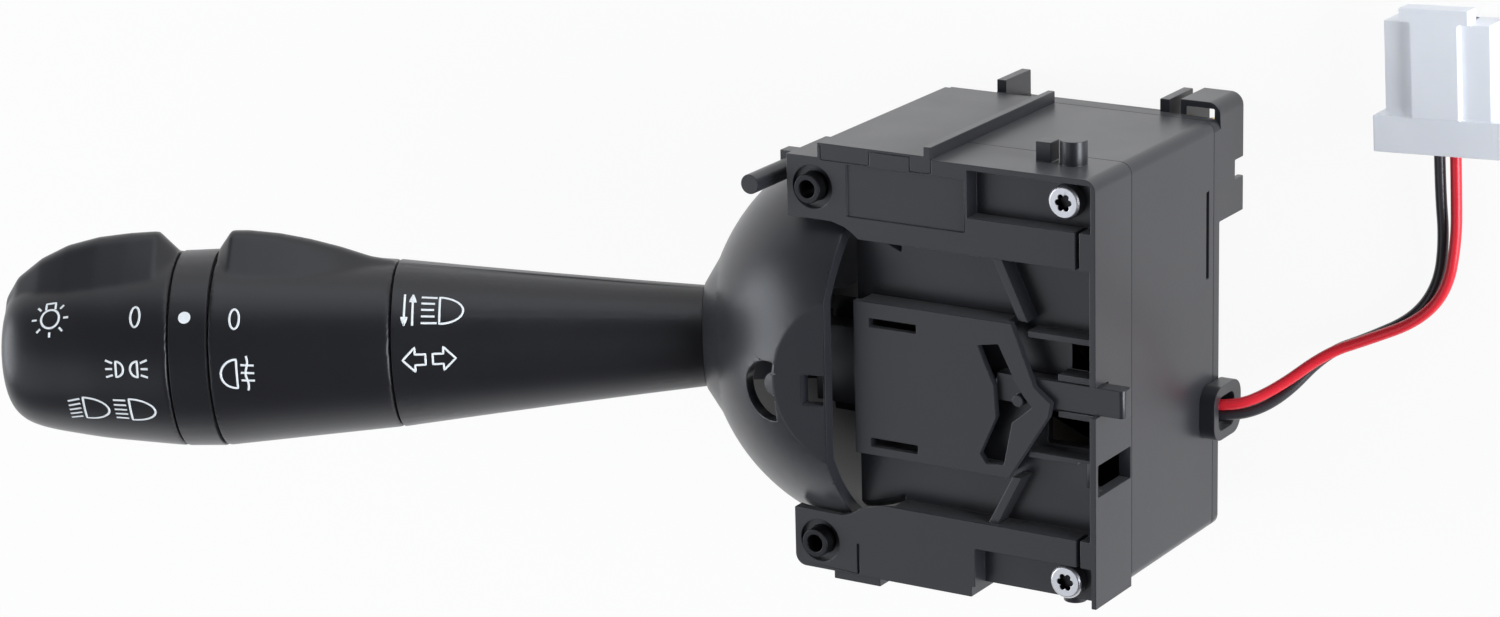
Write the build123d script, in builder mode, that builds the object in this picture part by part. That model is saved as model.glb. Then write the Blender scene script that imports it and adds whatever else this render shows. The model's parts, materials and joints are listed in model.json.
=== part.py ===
from build123d import *
import os
from math import cos, radians, sin, sqrt, tan

os.makedirs("parts", exist_ok=True)

# Combination stalk switch of a car, in millimetres.
# Frame: the two mounting sleeves stand on the Y axis, one above and one below the origin.
# X runs to the right along the front face, Y runs up the face and Z points at the driver.
# The plane z = 0 is where the ends of the sleeves seat on the column bracket.

# Fits
running_gap = 0.04
seat_gap = 0.02
slide_gap = 0.15
sweep_gap = 0.4

# Dome that covers the hub, and the mounting sleeves in the lugs on both sides of it
dome_r = 31.2
dome_t = 2.0
lug_inset = 3.7
sleeve_pitch = 2 * (dome_r - lug_inset)
sleeve_y = sleeve_pitch / 2

# Housing box
left_x = -4.4
right_x = 46.6
top_over = 6.4
top_y = sleeve_y + top_over
bottom_over = 4.5
bottom_y = -sleeve_y - bottom_over
low_right_x = 26.0
low_right_y = bottom_y + 1.6
rear_bottom_y = bottom_y + 2.1
sleeve_proud = 1.6
front_z = -sleeve_proud
front_depth = 11.3
rear_depth = 26.7
cover_t = 2.0
wall = 2.0
corner_r = 1.8
width = right_x - left_x
mid_x = (left_x + right_x) / 2
inside_y = (rear_bottom_y + wall, top_y - wall)
seam_z = front_z - front_depth
base_z = seam_z - rear_depth
cover_back_z = base_z - cover_t

# Front plate: the middle field lies lower than the bands above and below it
field_depth = 4.0
field_wall = 1.5
field_left_x = 12.6
field_top_y = sleeve_y - 7.1
field_bottom_y = -sleeve_y + 7.3
field_edge = 1.0
field_z = front_z - field_depth
field_back_z = field_z - field_wall

# Hub where the lever turns and tips
hub_x = 2.6
hub_y = -0.6
hub_height = 14.5
hub_z = base_z + hub_height
hub = Vector(hub_x, hub_y, hub_z)
turn_angle = 12.0

# Lever: it rises towards the driver and droops a little
lever_rise = 28.1
lever_droop = 1.12
rise = radians(lever_rise)
lever_dir = Vector(-cos(rise), -tan(radians(lever_droop)), sin(rise)).normalized()
lever_view = Vector(sin(rise), 0, cos(rise))
lever_view = (lever_view - lever_dir * lever_view.dot(lever_dir)).normalized()
lever = Plane(origin=hub, x_dir=lever_view, z_dir=lever_dir)
lever_axis = Axis(hub, lever_dir)
# In this plane X is the distance along the lever and Y the radius towards the top
lever_side = Plane(origin=hub, x_dir=lever_dir, z_dir=lever_dir.cross(lever.y_dir))

# Openings and edges of the dome
dome_open_x = hub_x + 2.0
facet_tilt = 15.0
facet_drop = 3.1
facet_distance = dome_r - facet_drop
rim_reach = 6.0
rim_drop = 11.5
rim_slope = 31.0

# Stations along the lever, measured from the hub
root_s = dome_r
stalk_end_s = 78.3
ring_end_s = 105.7
collar_end_s = 112.0
knob_end_s = 140.1
seam_gap = 0.25

# Radii of the lever
root_r = 7.75
neck_r = 12.0
stalk_end_r = 12.9
stalk_mid_share = 0.476
stalk_mid_r = root_r + stalk_mid_share * (stalk_end_r - root_r)
ring_r = 15.2
knob_r = 15.1
shell_t = 2.0

# Shafts inside the lever
rod_r = 3.0
core_wall = 1.6
sleeve_wall = 1.2
core_in_r = rod_r + 0.1
core_r = core_in_r + core_wall
fog_in_r = core_r + running_gap
fog_r = fog_in_r + sleeve_wall
spigot_r = 5.8

# Hub pieces
hub_barrel_r = 6.0
hub_half = 6.3
pin_r = 2.0
bar_w = 11.0
ear_t = 2.5
ear_gap = 0.2
yoke_half_x = 5.0
journal_r = 3.0
bridge_t = 3.6
bridge_low = 10.7
floor_bridge_top = 7.5
floor_bridge_t = 2.5
tail_r = 2.0
tail_reach = 14.0
drive_reach = 13.0
drive_pin_r = 1.5

# Screws and mounting sleeves
sleeve_r = 2.2
sleeve_bore_r = 1.3
sleeve_length = 5.5
sleeve_sink_r = 3.3
sleeve_sink = 0.8
screw_x = 41.0
screw_top_y = top_y - 4.1
screw_low_y = low_right_y + 3.0
screw_head_r = 2.55
screw_head_h = 2.0
screw_r = 1.5
screw_length = 18.0
screw_sink = 3.0
boss_r = 3.4
boss_lift = 3.0
torx_r = 1.3
torx_depth = 1.1

# Locating stubs, guide stud
stub_x = 39.4
stub_z = -8.9
stub_r = 2.0
stub_h = 3.6
stub_gap = 1.0
low_stub_r = 1.75
low_stub_h = 2.0
stud_x = -8.7
stud_y = sleeve_y + 0.15
stud_r = 1.5
stud_end_z = 1.9
stud_bracket_t = 2.6
stud_bracket_half = 2.2

# Cancel finger and its guide plate
finger_y = 1.0
finger_w = 4.2
finger_in_x = 30.0
finger_out_x = 50.6
finger_t = 2.7
spring_foot_x = 23.5
finger_lift = 0.3
plate_t = 1.2
plate_rim = 1.0
plate_top_z = front_z + 0.3

# Wires and their plug, which lies level with the feet
wire_d = 1.7
plug_yaw = 2.5
plug_x = 80.7
plug_y = 31.85
plug_t = 7.0
flange_w = 20.0
flange_l = 5.5
plug_w = 16.4
plug_l = 14.0
plug_body_t = 6.0
latch_w = 7.4
latch_bar_w = 10.7
latch_t = 1.2
wire_half_pitch = 1.25
last_run = 6.4

# Rear connectors and feet
shroud_depth = 8.0
shroud_wall = 1.0
shroud_top_y = top_y + 2.3
ear_top_y = top_y + 2.0
shroud_corner_r = 2.0
back_z = cover_back_z - shroud_depth


def around(centre, half):
    """The range that reaches half to each side of a centre."""
    return (centre - half, centre + half)


def block(x, y, z, mode=Mode.ADD):
    """Add or cut a box that spans the given ranges."""
    with Locations(((x[0] + x[1]) / 2, (y[0] + y[1]) / 2, (z[0] + z[1]) / 2)):
        Box(x[1] - x[0], y[1] - y[0], z[1] - z[0], mode=mode)


def bar(plane, radius, depth, mode=Mode.ADD, hole=0.0):
    """Add or cut a round bar that stands on a plane, or a tube when it has a hole."""
    with BuildSketch(plane) as ring:
        Circle(radius)
        if hole:
            Circle(hole, mode=Mode.SUBTRACT)
    extrude(ring.sketch, amount=depth, mode=mode)


def turned(points, mode=Mode.ADD):
    """Turn a closed profile of distances and radii about the lever axis."""
    with BuildSketch(lever_side) as profile:
        with BuildLine():
            Polyline(*points, close=True)
        make_face()
    revolve(profile.sketch, axis=lever_axis, mode=mode)


def ball(radius, facet):
    """The ball round the hub, flattened on its front by the facet."""
    tilt = radians(facet_tilt)
    normal = Vector(sin(tilt), 0, cos(tilt))
    with BuildPart() as whole:
        with Locations(hub):
            Sphere(radius)
        with BuildSketch(Plane(origin=hub + normal * facet, z_dir=normal)):
            Rectangle(3 * radius, 3 * radius)
        extrude(amount=radius, mode=Mode.SUBTRACT)
    return whole.part


def relief(reach_x):
    """The room that the dome needs as it swings, up to a plane across X."""
    with BuildPart() as room:
        with Locations(hub):
            Sphere(dome_r + sweep_gap)
        block((reach_x, hub_x + 2 * dome_r), (-2 * dome_r, 2 * dome_r), (-3 * dome_r, dome_r), Mode.SUBTRACT)
    return room.part


def tongue():
    """The strip of the field floor that stays inside the hollow of the dome."""
    with BuildPart() as strip:
        with Locations(hub):
            Sphere(dome_r - dome_t - sweep_gap)
        block((tongue_x, field_left_x), around(hub_y, dome_r), (field_back_z, field_z), Mode.INTERSECT)
    return strip.part


def prism(points, z, mode=Mode.ADD):
    """Add or cut a prism over an outline in the XY plane, between two heights."""
    with BuildSketch(Plane.XY.offset(z[0])) as outline:
        with BuildLine():
            Polyline(*points, close=True)
        make_face()
    extrude(outline.sketch, amount=z[1] - z[0], mode=mode)


def housing_section(low_y, bottom_z, depth):
    """The outer section of the housing box down to a lower edge, between two heights."""
    with BuildSketch(Plane.XY.offset(bottom_z)) as outline:
        with Locations((mid_x, (low_y + top_y) / 2)):
            RectangleRounded(width, top_y - low_y, corner_r)
    extrude(outline.sketch, amount=depth)


# Front housing: outline, hollow back, low middle field and the opening for the dome
arm_half = 6.0
arm_reach = 16
post_reach = (13, 17)
post_drop = 5.5
cam_face = 9.62
cam_t = 3.6
cam_low_z = hub_z + bridge_low
arm_low_z = hub_z + 15.5
arm_top_z = field_z
post_in = 6.1
post_t = 2.0
screw_ys = (screw_low_y, screw_top_y)
sleeve_ys = (-sleeve_y, sleeve_y)
screw_seat_z = front_z - screw_sink
rib_t = 1.0
stop_t = 1.5
lid_left_x = 0.9
lug_top_y = top_y - 1.8
tooth_xs = ((1.5, 9.7), (16.5, 20.0))
tooth_low_y = top_y - 2.1
tooth_t = 0.6
tongue_x = 5.0
upper_lug_edge = [
    (left_x - 1, field_top_y),
    (7.6, field_top_y),
    (6.6, field_top_y + 0.8),
    (5.2, field_top_y + 1.6),
    (3.0, field_top_y + 2.2),
    (left_x - 1, field_top_y + 2.2),
]
lower_lug_edge = [
    (left_x - 1, field_bottom_y),
    (8.0, field_bottom_y),
    (6.8, field_bottom_y - 1.3),
    (5.4, field_bottom_y - 2.2),
    (4.0, field_bottom_y - 2.6),
    (left_x - 1, field_bottom_y - 2.6),
]
rib_top_z = field_z + 3.0
pocket_rib_x = 35.1
finger_rib_x = 40.0
with BuildPart() as front_housing:
    housing_section(bottom_y, seam_z, front_depth)
    block((low_right_x, right_x + 1), (bottom_y - 1, low_right_y), (seam_z, front_z), Mode.SUBTRACT)
    block((left_x + wall, right_x - wall), inside_y, (seam_z, field_back_z), Mode.SUBTRACT)
    # The top lies lower left of the lid, so its wall is filled from inside
    block((left_x + wall, lid_left_x + wall), (lug_top_y - wall, inside_y[1]), (seam_z, field_back_z))
    block((left_x - 1, lid_left_x), (lug_top_y, top_y + 1), (seam_z, front_z), Mode.SUBTRACT)
    field_y = (field_bottom_y, field_top_y)
    block((field_left_x, right_x - field_edge), field_y, (field_z, front_z), Mode.SUBTRACT)
    block((left_x - 1, field_left_x), field_y, (seam_z, front_z), Mode.SUBTRACT)
    prism(upper_lug_edge, (seam_z, front_z), Mode.SUBTRACT)
    prism(lower_lug_edge, (seam_z, front_z), Mode.SUBTRACT)
    add(relief(field_left_x), mode=Mode.SUBTRACT)
    # Tongue of the field floor that reaches into the open side of the dome
    add(tongue())
    # Room for the detent cam, which hangs under the arm
    cam_x = (hub_x + cam_face, hub_x + cam_face + cam_t)
    block(cam_x, around(hub_y, arm_half), (cam_low_z, arm_low_z), Mode.SUBTRACT)
    # Arm with the front journal of the yoke, and posts that guide the dip slider
    block((hub_x - yoke_half_x, hub_x + arm_reach), around(hub_y, arm_half), (arm_low_z, arm_top_z))
    for side in (-1, 1):
        post_y = around(hub_y + side * (post_in + post_t / 2), post_t / 2)
        post_x = (hub_x + post_reach[0], hub_x + post_reach[1])
        block(post_x, post_y, (hub_z - post_drop, field_back_z))
    bore_low_z = cam_low_z + bridge_t
    bore_depth = arm_low_z + 3.2 - bore_low_z
    bar(Plane((hub_x, hub_y, bore_low_z)), journal_r + running_gap, bore_depth, Mode.SUBTRACT)
    # Sunk pads round the two screws, each with a boss behind it
    block((25.9, 45.8), (top_y - 7.9, top_y - 0.9), (screw_seat_z, front_z), Mode.SUBTRACT)
    block((26.6, 45.8), (bottom_y - 1, screw_low_y + 3.0), (screw_seat_z, front_z), Mode.SUBTRACT)
    for y in screw_ys:
        bar(Plane((screw_x, y, seam_z)), boss_r, screw_seat_z - seam_z - 0.5)
    block((low_right_x, right_x), (low_right_y - boss_r, low_right_y), (seam_z, front_z), Mode.SUBTRACT)
    for y in screw_ys:
        bar(Plane((screw_x, y, seam_z)), screw_r + seat_gap, front_depth, Mode.SUBTRACT)
    # Shallow label field, notches for the teeth of the lid and joints of the bands
    block((5.8, 25.4), (top_y - 10.2, top_y - 2.4), (front_z - 0.35, front_z), Mode.SUBTRACT)
    for x in tooth_xs:
        notch_x = (x[0] - seat_gap, x[1] + seat_gap)
        notch_y = (tooth_low_y - seat_gap, top_y)
        block(notch_x, notch_y, (front_z - tooth_t - seat_gap, front_z), Mode.SUBTRACT)
    block((right_x - 3.2, right_x - 2.6), (-24.4, 26.0), (front_z - 3, front_z), Mode.SUBTRACT)
    block((6.4, 6.8), (bottom_y + 0.4, bottom_y + 5), (front_z - 0.4, front_z), Mode.SUBTRACT)
    # Ribs and walls that stand in the low field
    upper_rib = [(29.3, field_top_y), (30.9, field_top_y), (35.2, 11.3), (33.6, 11.3)]
    lower_rib = [(28.4, field_bottom_y), (30.0, field_bottom_y), (34.0, -12.5), (32.5, -12.5)]
    for outline in (upper_rib, lower_rib):
        prism(outline, (field_z, rib_top_z))
    for y in (9.6, -8.6):
        block((pocket_rib_x, right_x - field_edge), around(y, rib_t / 2), (field_z, rib_top_z))
    for y in around(finger_y, finger_w / 2 + slide_gap + rib_t / 2):
        block((finger_rib_x, right_x - field_edge), around(y, rib_t / 2), (field_z, rib_top_z))
    block((40.9, 44.6), (4.4, 8.3), (field_back_z, field_z), Mode.SUBTRACT)
    block((36.8, 44.4), (-7.4, -2.6), (field_back_z, field_z), Mode.SUBTRACT)
    # Stop for the spring of the cancel finger
    block((spring_foot_x - stop_t, spring_foot_x), around(finger_y, 1.8), (field_z, plate_top_z - plate_t))
    # Slot for the finger and window in the right wall
    finger_slot = around(finger_y, finger_w / 2 + slide_gap)
    block((right_x - field_edge, right_x + 1), finger_slot, (field_z, front_z), Mode.SUBTRACT)
    block((right_x - wall - 1.5, right_x + 1), (-13.4, -8.6), (seam_z + 0.4, front_z - 0.8), Mode.SUBTRACT)
    # Holes and sinks for the mounting sleeves
    for y in sleeve_ys:
        bar(Plane((0, y, front_z - sleeve_sink)), sleeve_sink_r, sleeve_sink, Mode.SUBTRACT)
        bar(Plane((0, y, seam_z)), sleeve_r + seat_gap, -seam_z, Mode.SUBTRACT)
    # Locating stubs above and below, and the lip under the lower lug
    bar(Plane((stub_x, top_y, stub_z), x_dir=(1, 0, 0), z_dir=(0, 1, 0)), stub_r, stub_h)
    stub_side_x = stub_x - stub_r - stub_gap
    block((stub_side_x - 2.5, stub_side_x), (top_y, top_y + 3.0), around(stub_z, 1.3))
    bar(Plane((stub_x, low_right_y, stub_z), x_dir=(1, 0, 0), z_dir=(0, -1, 0)), low_stub_r, low_stub_h)
    block((2.0, 10.0), (bottom_y - 1.4, bottom_y), (front_z - 5, front_z - 0.6))
    # Guide stud on its bracket beside the upper lug
    bracket_x = (stud_x - stud_bracket_half, left_x)
    block(bracket_x, around(stud_y, stud_bracket_half), (seam_z, seam_z + stud_bracket_t))
    bar(Plane((stud_x, stud_y, seam_z)), stud_r, stud_end_z - seam_z)
    add(relief(hub_x - yoke_half_x), mode=Mode.SUBTRACT)
front_housing.part.label = "front_housing"
export_step(front_housing.part, "parts/front_housing.step")

# Rear housing: the deep box behind the seam, open at the back and beside the dome
with BuildPart() as rear_housing:
    housing_section(rear_bottom_y, base_z, rear_depth)
    block((left_x - 1, right_x - wall), inside_y, (base_z, seam_z), Mode.SUBTRACT)
    # Left of the lid and beside the dome the box has no wall
    block((left_x - 1, lid_left_x), (hub_y, top_y + 1), (base_z, seam_z), Mode.SUBTRACT)
    block((left_x - 1, field_left_x), (rear_bottom_y - 1, hub_y), (base_z, seam_z), Mode.SUBTRACT)
    for y in screw_ys:
        bar(Plane((screw_x, y, base_z + boss_lift)), boss_r, rear_depth - boss_lift)
    block((low_right_x, right_x), (low_right_y - boss_r, low_right_y), (base_z, seam_z), Mode.SUBTRACT)
    for y in screw_ys:
        bar(Plane((screw_x, y, seam_z - screw_length)), screw_r + seat_gap, screw_length, Mode.SUBTRACT)
    # Latch groove in the right wall
    block((right_x - 0.8, right_x), (10.2, 23.6), (base_z + 1.6, base_z + 2.4), Mode.SUBTRACT)
    add(relief(field_left_x), mode=Mode.SUBTRACT)
rear_housing.part.label = "rear_housing"
export_step(rear_housing.part, "parts/rear_housing.step")

# Top cover: a thin lid on the top face with the long rib on its right edge
lid_t = 0.4
lid_right_x = 20.0
rib_w = 1.2
rib_h = 1.4
with BuildPart() as top_cover:
    block((lid_left_x, lid_right_x), (top_y, top_y + lid_t), (base_z, front_z))
    block((lid_right_x - rib_w, lid_right_x), (top_y + lid_t, top_y + lid_t + rib_h), (base_z, front_z))
    for x in tooth_xs:
        block(x, (tooth_low_y, top_y), (front_z - tooth_t, front_z))
top_cover.part.label = "top_cover"
export_step(top_cover.part, "parts/top_cover.step")

# Rear cover: plate, rear journal boss, feet and the two connector shrouds
boss_top_z = hub_z - floor_bridge_top - floor_bridge_t - 0.2
journal_boss_r = 5.5
main_x = (6.4, 38.2)
main_y = (top_y - 17.9, top_y - 1.9)
side_x = (40.0, right_x)
side_y = (top_y - 15.9, shroud_top_y)
ear_w = 1.6
ear_xs = (8.9, main_x[1] - ear_w)
# The plate starts where the rim of the dome, at the level of the plate, can't reach when it turns
rim_meets_x = -rim_reach - (hub_height - rim_drop) / tan(radians(rim_slope))
rim_meets_y = sqrt(dome_r**2 - hub_height**2 - rim_meets_x**2)
turn = radians(turn_angle)
cover_left_x = hub_x + rim_meets_x * cos(turn) + rim_meets_y * sin(turn) + 2 * sweep_gap
foot_w = 6.0
foot_xs = (cover_left_x, low_right_x)
foot_y = (rear_bottom_y + 0.8, rear_bottom_y + 0.8 + foot_w)
notch_depth = 2.8
with BuildPart() as rear_cover:
    housing_section(rear_bottom_y, cover_back_z, cover_t)
    block((left_x - 1, cover_left_x), (rear_bottom_y - 1, top_y + 1), (cover_back_z, base_z), Mode.SUBTRACT)
    bar(Plane((hub_x, hub_y, base_z)), journal_boss_r, boss_top_z - base_z)
    bar(Plane((hub_x, hub_y, base_z + 0.4)), journal_r + running_gap, boss_top_z - base_z, Mode.SUBTRACT)
    shroud_z = (back_z, cover_back_z)
    for x, y in ((main_x, main_y), (side_x, side_y)):
        block(x, y, shroud_z)
        in_x = (x[0] + shroud_wall, x[1] - shroud_wall)
        in_y = (y[0] + shroud_wall, y[1] - shroud_wall)
        block(in_x, in_y, shroud_z, Mode.SUBTRACT)
    fillet(rear_cover.edges().filter_by(Axis.Z).group_by(Axis.Y)[-1].sort_by(Axis.X)[-1], shroud_corner_r)
    # Ears above the main shroud and the notch in the side shroud
    for x in ear_xs:
        block((x, x + ear_w), (main_y[1], ear_top_y), shroud_z)
    block((right_x - shroud_wall, right_x), (23.4, 26.3), (back_z, back_z + notch_depth), Mode.SUBTRACT)
    for x in foot_xs:
        block((x, x + foot_w), foot_y, shroud_z)
    block((left_x - 1, lid_left_x), (top_y - wall, top_y + 1), (cover_back_z, base_z), Mode.SUBTRACT)
rear_cover.part.label = "rear_cover"
export_step(rear_cover.part, "parts/rear_cover.step")

# Contact blades in the two connectors
blade_t = 0.6
blade_w = 1.6
blade_l = 5.5
with BuildPart() as main_blades:
    with Locations(((main_x[0] + main_x[1]) / 2, (main_y[0] + main_y[1]) / 2, cover_back_z - blade_l / 2)):
        with GridLocations(3.6, 6.0, 6, 2):
            Box(blade_w, blade_t, blade_l)
main_blades.part.label = "main_blades"
export_step(main_blades.part, "parts/main_blades.step")

with BuildPart() as side_blades:
    with Locations(((side_x[0] + side_x[1]) / 2, (side_y[0] + side_y[1]) / 2, cover_back_z - blade_l / 2)):
        with GridLocations(3.0, 5.0, 1, 3):
            Box(blade_w, blade_t, blade_l)
side_blades.part.label = "side_blades"
export_step(side_blades.part, "parts/side_blades.step")

# Housing screws with a six-lobed socket
with BuildPart() as housing_screws:
    for y in screw_ys:
        bar(Plane((screw_x, y, screw_seat_z)), screw_head_r, screw_head_h)
        bar(Plane((screw_x, y, screw_seat_z - screw_length)), screw_r, screw_length)
    chamfer(housing_screws.edges().group_by(Axis.Z)[-1], 0.35)
    for y in screw_ys:
        top = Plane((screw_x, y, screw_seat_z + screw_head_h - torx_depth))
        bar(top, torx_r * 0.72, torx_depth, Mode.SUBTRACT)
        with BuildSketch(top) as lobes:
            with PolarLocations(torx_r * 0.68, 6):
                Circle(torx_r * 0.32)
        extrude(lobes.sketch, amount=torx_depth, mode=Mode.SUBTRACT)
housing_screws.part.label = "housing_screws"
export_step(housing_screws.part, "parts/housing_screws.step")

# Mounting sleeves pressed into the lugs
with BuildPart() as mounting_sleeves:
    for y in sleeve_ys:
        bar(Plane((0, y, -sleeve_length)), sleeve_r, sleeve_length, hole=sleeve_bore_r)
    # The dome swings past their inner ends
    add(relief(field_left_x), mode=Mode.SUBTRACT)
mounting_sleeves.part.label = "mounting_sleeves"
export_step(mounting_sleeves.part, "parts/mounting_sleeves.step")

# Contact base with guide rails, and the brass tracks on it
base_t = 1.6
board_right_x = 43.0
board_top_y = top_y - 9.3
board_gap = 0.3
track_t = 0.2
track_top_z = base_z + base_t + track_t
slider_half = 9.0
slider_x = (hub_x + 9.0, hub_x + 23.0)
slider_low_z = track_top_z + 0.45
slider_t = 2.0
rail_t = 1.4
rail_half = 14.0
track_w = 1.5
track_pitch = 3.0
with BuildPart() as contact_base:
    board_x = (slider_x[0] - slide_gap - rail_t, board_right_x)
    block(board_x, (inside_y[0] + board_gap, board_top_y), (base_z, base_z + base_t))
    for x in (slider_x[0] - slide_gap - rail_t / 2, slider_x[1] + slide_gap + rail_t / 2):
        block(around(x, rail_t / 2), around(hub_y, rail_half), (base_z + base_t, slider_low_z + slider_t))
contact_base.part.label = "contact_base"
export_step(contact_base.part, "parts/contact_base.step")

track_xs = [slider_x[0] + 2.5 + track_pitch * step for step in range(4)]
with BuildPart() as contact_tracks:
    for x in track_xs:
        block(around(x, track_w / 2), around(hub_y, slider_half + 3.4), (base_z + base_t, track_top_z))
contact_tracks.part.label = "contact_tracks"
export_step(contact_tracks.part, "parts/contact_tracks.step")

# Turn slider, moved along Y by the drive pin of the yoke
pin_slot_l = 0.5
with BuildPart() as turn_slider:
    block(slider_x, around(hub_y, slider_half), (slider_low_z, slider_low_z + slider_t))
    slot_x = (hub_x + drive_reach - drive_pin_r - pin_slot_l, hub_x + drive_reach + drive_pin_r + slide_gap)
    block(slot_x, around(hub_y, drive_pin_r + 0.08), (slider_low_z, slider_low_z + slider_t), Mode.SUBTRACT)
turn_slider.part.label = "turn_slider"
export_step(turn_slider.part, "parts/turn_slider.step")

with BuildPart() as turn_wipers:
    for x in (track_xs[0], track_xs[3]):
        block(around(x, track_w / 2), around(hub_y, 6.0), (slider_low_z - 0.3, slider_low_z))
turn_wipers.part.label = "turn_wipers"
export_step(turn_wipers.part, "parts/turn_wipers.step")

# Yoke: two ears between a top and a floor bridge, journals above and below
ear_in = hub_half + ear_gap
ear_out = ear_in + ear_t
bridge_z = (hub_z + bridge_low, hub_z + bridge_low + bridge_t)
floor_z = (hub_z - floor_bridge_top - floor_bridge_t, hub_z - floor_bridge_top)
plunger_r = 1.1
plunger_z = hub_z + bridge_low + bridge_t / 2
plunger_tip = 9.58
plunger_l = 10.0
plunger_bore_end = -4.3
with BuildPart() as yoke:
    block(around(hub_x, yoke_half_x), around(hub_y, ear_out), bridge_z)
    block(around(hub_x, yoke_half_x), around(hub_y, ear_out), floor_z)
    for side in (-1, 1):
        ear_y = around(hub_y + side * (ear_in + ear_t / 2), ear_t / 2)
        block(around(hub_x, yoke_half_x), ear_y, (floor_z[0], bridge_z[1]))
    bar(Plane((hub_x, hub_y, bridge_z[1])), journal_r, arm_low_z + 2.9 - bridge_z[1])
    bar(Plane((hub_x, hub_y, base_z + 0.6)), journal_r, floor_z[0] - base_z - 0.6)
    # Drive arm with the pin that moves the turn slider
    block((hub_x + yoke_half_x, hub_x + drive_reach + 1.8), around(hub_y, 3.0), floor_z)
    pin_foot_z = slider_low_z + 0.2
    bar(Plane((hub_x + drive_reach, hub_y, pin_foot_z)), drive_pin_r, floor_z[0] - pin_foot_z)
    # Bores for the cross pin and for the detent plunger
    pin_plane = Plane((hub_x, hub_y - ear_out, hub_z), x_dir=(1, 0, 0), z_dir=(0, 1, 0))
    bar(pin_plane, pin_r + seat_gap / 2, 2 * ear_out, Mode.SUBTRACT)
    bore_plane = Plane((hub_x + plunger_bore_end, hub_y, plunger_z), x_dir=(0, 1, 0), z_dir=(1, 0, 0))
    bar(bore_plane, plunger_r + running_gap, 2 * cam_face, Mode.SUBTRACT)
yoke.part.label = "yoke"
export_step(yoke.part, "parts/yoke.step")

with BuildPart() as lever_pin:
    bar(pin_plane, pin_r, 2 * ear_out)
lever_pin.part.label = "lever_pin"
export_step(lever_pin.part, "parts/lever_pin.step")

# Detent: sprung plunger in the yoke and the notched cam under the front arm
notch_r = 1.2
notch_centre = 8.92
with BuildPart() as detent_plunger:
    tip_centre = hub_x + plunger_tip - plunger_r
    plunger_foot = (tip_centre - plunger_l, hub_y, plunger_z)
    bar(Plane(plunger_foot, x_dir=(0, 1, 0), z_dir=(1, 0, 0)), plunger_r, plunger_l)
    with Locations((tip_centre, hub_y, plunger_z)):
        Sphere(plunger_r)
detent_plunger.part.label = "detent_plunger"
export_step(detent_plunger.part, "parts/detent_plunger.step")

with BuildPart() as detent_cam:
    block(cam_x, around(hub_y, arm_half), (cam_low_z, arm_low_z))
    with BuildSketch(Plane((hub_x, hub_y, cam_low_z))) as notches:
        for step in (-1, 0, 1):
            angle = radians(step * turn_angle)
            with Locations((notch_centre * cos(angle), notch_centre * sin(angle))):
                Circle(notch_r)
    extrude(notches.sketch, amount=arm_low_z - cam_low_z, mode=Mode.SUBTRACT)
detent_cam.part.label = "detent_cam"
export_step(detent_cam.part, "parts/detent_cam.step")


def coil(foot, direction, coil_r, wire_r, length, turns):
    """A compression spring between two faces, its foot at the first one."""
    start = foot + direction.normalized() * wire_r
    rise = length - 2 * wire_r
    with BuildPart() as spring:
        with BuildLine() as wind:
            Helix(rise / turns, rise, coil_r, center=start, direction=direction)
        with BuildSketch(Plane(wind.line @ 0, z_dir=wind.line % 0)) as wire:
            Circle(wire_r)
        sweep(wire.sketch, path=wind.wire(), is_frenet=True)
    return spring.part


wire_r = 0.2
detent_foot = Vector(hub_x + plunger_bore_end, hub_y, plunger_z)
detent_spring = coil(detent_foot, Vector(1, 0, 0), 0.8, wire_r, tip_centre - plunger_l - detent_foot.X, 4)
detent_spring.label = "detent_spring"
export_step(detent_spring, "parts/detent_spring.step")

# Lever hub: barrel on the cross pin, bar to the dome, spigot in the stalk and tail with a ball
bar_end_s = dome_r - dome_t - 3.2
bore_start_s = 19.0
core_start_s = 24.0
spigot_end_s = 42.0
tail_half = 1.4
with BuildPart() as lever_hub:
    bar(Plane((hub_x, hub_y - hub_half, hub_z), x_dir=(1, 0, 0), z_dir=(0, 1, 0)), hub_barrel_r, 2 * hub_half)
    with BuildSketch(lever) as bar_section:
        Rectangle(bar_w, bar_w)
    extrude(bar_section.sketch, amount=bar_end_s)
    bar(lever.offset(bar_end_s - 1), spigot_r, spigot_end_s - bar_end_s + 1)
    block((hub_x + 5, hub_x + tail_reach - 1), around(hub_y, tail_half), around(hub_z, tail_half))
    with Locations((hub_x + tail_reach, hub_y, hub_z)):
        Sphere(tail_r)
    bar(lever.offset(bore_start_s), core_in_r, spigot_end_s, Mode.SUBTRACT)
    bar(lever.offset(core_start_s), core_r + seat_gap, spigot_end_s, Mode.SUBTRACT)
    bar(pin_plane, pin_r + running_gap, 2 * ear_out, Mode.SUBTRACT)
lever_hub.part.label = "lever_hub"
export_step(lever_hub.part, "parts/lever_hub.step")

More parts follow.
